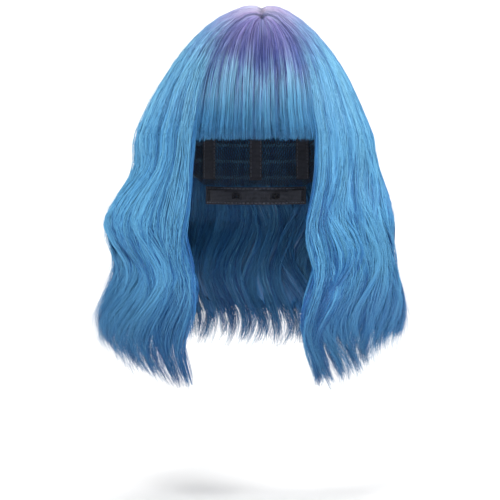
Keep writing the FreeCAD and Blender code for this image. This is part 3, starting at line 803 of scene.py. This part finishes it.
def parting_roots():
    """The roots that stand up from the parting patch and fill the line between the parting's two sides."""
    rows, rise = 60, 5.0
    y = np.linspace(PART_FRONT - 4.0, PART_BACK + 11.0, rows)
    middle, reach = (PART_FRONT + PART_BACK) / 2.0, (PART_BACK - PART_FRONT) / 2.0
    half = 0.9 + 3.4 * smooth((np.abs(y - middle) - reach + 4.0) / 6.0)
    top = dome_height(np.full(rows, PART_X), y) - 1.0
    share = np.linspace(0.0, 1.0, 5)[None, :]
    height = top[:, None] - rise + rise * share
    forward = np.broadcast_to(y[:, None], height.shape)
    walls = [np.stack([PART_X + side * half[:, None] * (1.0 - 0.5 * share), forward, height], axis=2)
             for side in (-1.0, 1.0)]
    batch = Batch()
    batch.add_slab(*walls, np.zeros(height.shape), np.zeros(height.shape))
    place_piece(batch.mesh("parting_roots"), UPPER, None, "wig")


parting_roots()
fringe_section()
for side, sign in (("left", -1), ("right", 1)):
    front, side_span, back, under = [sorted((sign * low, sign * high))
                                     for low, high in (FRONT_SPAN, SIDE_SPAN, BACK_SPAN, UNDER_SPAN)]
    upper_section(f"front_lock_{side}", *front, inner_edge=sign * FRONT_SPAN[0])
    upper_section(f"side_hair_{side}", *side_span)
    upper_section(f"back_hair_{side}", *back)
    under_section(f"under_side_{side}", *under)
    under_section(f"nape_hair_{side}", *back)
upper_section("back_hair_center", *BACK_MIDDLE)
under_section("nape_hair_center", *BACK_MIDDLE)


# ---------------------------------------- materials of the cap

def stripes(tree, direction, pitch):
    """Even waves across the piece, pitch metres apart."""
    waves_node = tree.nodes.new("ShaderNodeTexWave")
    waves_node.bands_direction = direction
    tree.links.new(tree.nodes.new("ShaderNodeTexCoord").outputs["Object"], waves_node.inputs["Vector"])
    waves_node.inputs["Scale"].default_value = math.pi / (10.0 * pitch)
    waves_node.inputs["Distortion"].default_value = 0.4
    waves_node.inputs["Detail Scale"].default_value = 60.0
    return waves_node.outputs["Fac"]


def speckle(tree, size):
    """Fine random variation with a grain size in metres."""
    noise = tree.nodes.new("ShaderNodeTexNoise")
    tree.links.new(tree.nodes.new("ShaderNodeTexCoord").outputs["Object"], noise.inputs["Vector"])
    noise.inputs["Scale"].default_value = 1.0 / size
    noise.inputs["Detail"].default_value = 3.0
    return noise.outputs[0]


def add_bump(tree, shader, height, distance, strength=0.6):
    bump = tree.nodes.new("ShaderNodeBump")
    bump.inputs["Strength"].default_value = strength
    bump.inputs["Distance"].default_value = distance
    tree.links.new(height, bump.inputs["Height"])
    tree.links.new(bump.outputs[0], shader.inputs["Normal"])


def cloth_material(name, dark, light, along, across, roughness=0.85, grain=0.004, depth=0.0003):
    """Woven or knitted cloth: two directions of thread, (direction, pitch) each, and slight wear."""
    material, tree, shader = new_material(name, roughness, 0.3)
    shader.inputs["Sheen Weight"].default_value = 0.15
    crossing = math_node(tree, "MULTIPLY", stripes(tree, *along), stripes(tree, *across))
    half_crossing = math_node(tree, "MULTIPLY", crossing, 0.5)
    weave = math_node(tree, "MULTIPLY_ADD", stripes(tree, *along), 0.5, half_crossing)
    faint_weave = math_node(tree, "MULTIPLY", weave, 0.6)
    worn = math_node(tree, "MULTIPLY_ADD", speckle(tree, grain), 0.5, faint_weave)
    tree.links.new(ramp_node(tree, worn, [(0.12, dark), (0.8, light)]), shader.inputs["Base Color"])
    add_bump(tree, shader, weave, depth)
    return material


def plastic_material(name, dark, light, roughness):
    """Moulded plastic with faint flow marks."""
    material, tree, shader = new_material(name, roughness)
    marks = speckle(tree, 0.002)
    tree.links.new(ramp_node(tree, marks, [(0.35, dark), (0.65, light)]), shader.inputs["Base Color"])
    tree.links.new(math_node(tree, "MULTIPLY_ADD", marks, 0.2, roughness - 0.1), shader.inputs["Roughness"])
    add_bump(tree, shader, marks, 0.00005, 0.3)
    return material


NEAR_BLACK = (0.012, 0.014, 0.022)
CAP_MATERIALS = {
    "cap_net": cloth_material(
        "net_thread", NEAR_BLACK, (0.05, 0.055, 0.075), ("Z", 0.0006), ("X", 0.0006)),
    "elastic_tape": cloth_material(
        "woven_elastic", (0.010, 0.012, 0.018), (0.085, 0.09, 0.115), ("Z", 0.0013), ("X", 0.0009)),
    "weft_strip": cloth_material(
        "sewn_weft", (0.02, 0.07, 0.17), (0.10, 0.30, 0.50), ("X", 0.0011), ("Z", 0.0012)),
    "skin_top": cloth_material(
        "coated_lavender_cloth", (0.26, 0.25, 0.42), (0.44, 0.43, 0.62), ("X", 0.0008), ("Y", 0.0008),
        roughness=0.5, grain=0.003, depth=0.0001),
    "tab_lace": cloth_material(
        "tab_knit", NEAR_BLACK, (0.08, 0.085, 0.11), ("Y", 0.0011), ("Z", 0.0015)),
    "stay_plastic": plastic_material("stay_nylon", (0.42, 0.42, 0.43), (0.56, 0.56, 0.57), 0.45),
    "hook_plastic": plastic_material("hook_nylon", (0.012, 0.012, 0.015), (0.03, 0.03, 0.034), 0.28),
}
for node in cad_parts.values():
    for material_slot in node.material_slots:
        if material_slot.name in CAP_MATERIALS:
            material_slot.material = CAP_MATERIALS[material_slot.name]


# ---------------------------------------- net and seams of the cap

def surface_of(node):
    """A CAD node's surface, for casting rays."""
    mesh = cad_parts[node].data
    corners = [corner.co for corner in mesh.vertices]
    return BVHTree.FromPolygons(corners, [face.vertices for face in mesh.polygons])


def hit_points(surface, origins, directions, beyond):
    """Where rays in millimetres meet a surface, moved beyond it by a distance. Missed rays give None."""
    found = []
    for origin, direction in zip(origins, directions):
        ray = Vector(direction).normalized()
        place = surface.ray_cast(Vector(origin) * MM, ray)[0]
        found.append(None if place is None else np.array(place / MM + ray * beyond))
    return found


def runs(points, size):
    """Unbroken runs of points, resampled into lengths of the same number of points that share their ends."""
    lengths, run = [], []
    for point in points + [None]:
        if point is not None:
            run.append(point)
            continue
        if len(run) > 2:
            line = np.array(run)
            parts = math.ceil((len(line) - 1) / (size - 1))
            wanted = np.linspace(0, len(line) - 1, parts * (size - 1) + 1)
            given = np.arange(len(line))
            line = np.stack([np.interp(wanted, given, line[:, axis]) for axis in range(3)], axis=1)
            lengths += [line[i * (size - 1):(i + 1) * (size - 1) + 1] for i in range(parts)]
        run = []
    return lengths


def thread_piece(name, lines, thick, material, node, body):
    """Closed threads along lines of equal numbers of points."""
    paths = np.array(lines)
    batch = Batch()
    plain = np.zeros(paths.shape[:2])
    batch.add_strands(paths, plain, plain + 0.5, plain, np.full(len(paths), thick))
    return place_piece(batch.mesh(name), material, node, body)


THREAD_WIDTH = 0.5
NET_SPREAD = 88.0  # millimetres of net per radian of the head
NET_REACH, NET_CELL, NET_STEP, NET_SLANT = 202.0, 3.4, 2.4, math.radians(34.0)


def cap_net():
    """Openwork net over the whole cap: two families of threads that cross."""
    surface = surface_of("crown_net")
    steps = np.arange(-NET_REACH, NET_REACH, NET_STEP)
    lines = []
    for slant in (-NET_SLANT, NET_SLANT):
        way = np.array([math.sin(slant), math.cos(slant)])
        aside = np.array([way[1], -way[0]])
        for offset in np.arange(-NET_REACH, NET_REACH, NET_CELL):
            plan = aside * offset + way * steps[:, None]
            far = np.hypot(plan[:, 0], plan[:, 1])
            angle, turn = far / NET_SPREAD, np.arctan2(plan[:, 1], plan[:, 0])
            level = np.sin(angle)
            rays = np.stack([level * np.cos(turn), level * np.sin(turn), np.cos(angle)], axis=1)
            points = hit_points(surface, [HEAD_CENTRE] * len(rays), rays, 0.3)
            points = [point if distance < NET_REACH else None for point, distance in zip(points, far)]
            lines += runs(points, 9)
    net = CAP_MATERIALS["cap_net"]
    thread_piece("crown_net_threads", lines, THREAD_WIDTH, net, "crown_net", "wig")


THREAD = plastic_material("seam_thread", (0.16, 0.17, 0.22), (0.26, 0.28, 0.34), 0.5)
STITCH, STITCH_PITCH = 2.7, 4.0
STITCH_JUMP = 2.0  # a stitch that steps further than this is left out
RIB_INSET, BAND_INSET = 1.4, 1.6  # how far the seams run from a tape's edges
NAPE_AXIS_Y, NAPE_RADIUS, RIB_RADIUS = 31.0, 52.0, 90.0


def seam(node, origin_of, ray_of, low, high, radius):
    """Stitches on the inner face of a tape, along angles from low to high in radians at about a radius."""
    surface = surface_of(node)
    lines = []
    for start in np.arange(low, high, STITCH_PITCH / radius):
        angles = np.linspace(start, start + STITCH / radius, 4)
        origins, rays = [origin_of(angle) for angle in angles], [ray_of(angle) for angle in angles]
        points = hit_points(surface, origins, rays, -0.1)
        if all(point is not None for point in points):
            distances = [np.linalg.norm(point) for point in points]
            if np.ptp(distances) < STITCH_JUMP:
                lines.append(np.array(points))
    return lines


def cap_seams():
    """Rows of stitches along the ribs and the nape band."""
    lines = []
    for node in ("rib_left", "rib_center", "rib_right"):
        low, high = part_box(node)
        for x in (low[0] / MM + RIB_INSET, high[0] / MM - RIB_INSET):
            lines += seam(node, lambda angle, x=x: (x, 0.0, MIDDLE_Z),
                          lambda angle: (0.0, math.sin(angle), math.cos(angle)), -1.5, 2.2, RIB_RADIUS)
    low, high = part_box("nape_band")
    for z in (low[2] / MM + BAND_INSET, high[2] / MM - BAND_INSET):
        lines += seam("nape_band", lambda angle, z=z: (0.0, NAPE_AXIS_Y, z),
                      lambda angle: (math.sin(angle), math.cos(angle), 0.0), -1.1, 1.1, NAPE_RADIUS)
    thread_piece("seam_threads", lines, THREAD_WIDTH, THREAD, None, "wig")


cap_net()
cap_seams()


# ---------------------------------------- camera, light and backdrop

VIEW_CENTRE = (-0.0056, -0.206)  # x and z in the middle of the picture
CAMERA_DISTANCE = 1.65
FIELD = 0.463  # width of the view at the wig's middle depth

camera_data = bpy.data.cameras.new("camera")
camera_data.sensor_width = 36.0
camera_data.lens = camera_data.sensor_width * CAMERA_DISTANCE / FIELD
camera = bpy.data.objects.new("camera", camera_data)
camera.location = (VIEW_CENTRE[0], -CAMERA_DISTANCE, VIEW_CENTRE[1])
camera.rotation_euler = (math.pi / 2, 0.0, 0.0)
bpy.context.scene.collection.objects.link(camera)
bpy.context.scene.camera = camera

floor_material, floor_tree, floor_shader = new_material("floor_paint", 0.6, 0.2)
floor_noise = floor_tree.nodes.new("ShaderNodeTexNoise")
floor_noise.inputs["Scale"].default_value = 3.0
FLOOR_PAINT = [(0.3, (0.86, 0.86, 0.86)), (0.7, (0.9, 0.9, 0.9))]
floor_colour = ramp_node(floor_tree, floor_noise.outputs[0], FLOOR_PAINT)
floor_tree.links.new(floor_colour, floor_shader.inputs["Base Color"])
FLOOR_DROP = 0.105  # the display stand's height below the hair
floor_z = CAD_BOX[0][2] - FLOOR_DROP
FLOOR_HALF_WIDTH = 3.5
# The floor's outline from the side, which turns up into a backdrop: y, and height above the floor.
FLOOR_PROFILE = [(-3.0, 0.0), (0.9, 0.0), (1.15, 0.05), (1.3, 0.2), (1.35, 0.5), (1.35, 3.0)]
floor_mesh = bpy.data.meshes.new("floor")
floor_corners = [(x, y, floor_z + z) for y, z in FLOOR_PROFILE for x in (-FLOOR_HALF_WIDTH, FLOOR_HALF_WIDTH)]
floor_faces = [(2 * i, 2 * i + 1, 2 * i + 3, 2 * i + 2) for i in range(len(FLOOR_PROFILE) - 1)]
floor_mesh.from_pydata(floor_corners, [], floor_faces)
floor = bpy.data.objects.new("floor", floor_mesh)
floor_mesh.materials.append(floor_material)
bpy.context.scene.collection.objects.link(floor)


def soft_light(name, place, target, size, power):
    """A square area light that faces a target."""
    light = bpy.data.lights.new(name, "AREA")
    light.shape = "SQUARE"
    light.size = size
    light.energy = power
    lamp = bpy.data.objects.new(name, light)
    lamp.location = place
    direction = np.array(target) - np.array(place)
    yaw = math.atan2(direction[1], direction[0]) - math.pi / 2
    pitch = math.atan2(math.hypot(direction[0], direction[1]), -direction[2])
    lamp.rotation_euler = (pitch, 0.0, yaw)
    bpy.context.scene.collection.objects.link(lamp)


soft_light("key", (-0.35, -1.6, 1.1), (0, 0, -0.15), 0.6, 31.0)
soft_light("fill", (1.3, -0.7, 0.6), (0, 0, -0.12), 0.8, 12.0)
soft_light("front", (0.05, -1.7, -0.16), (0, 0, -0.16), 0.5, 4.5)
soft_light("top", (0.0, 0.1, 1.4), (0, 0, -0.1), 1.2, 16.0)
world = bpy.data.worlds.new("studio")
world.use_nodes = True
background = world.node_tree.nodes["Background"]
background.inputs["Color"].default_value = (1.0, 1.0, 1.0, 1.0)
background.inputs["Strength"].default_value = 0.42
bpy.context.scene.world = world
bpy.context.scene.view_settings.view_transform = "Standard"
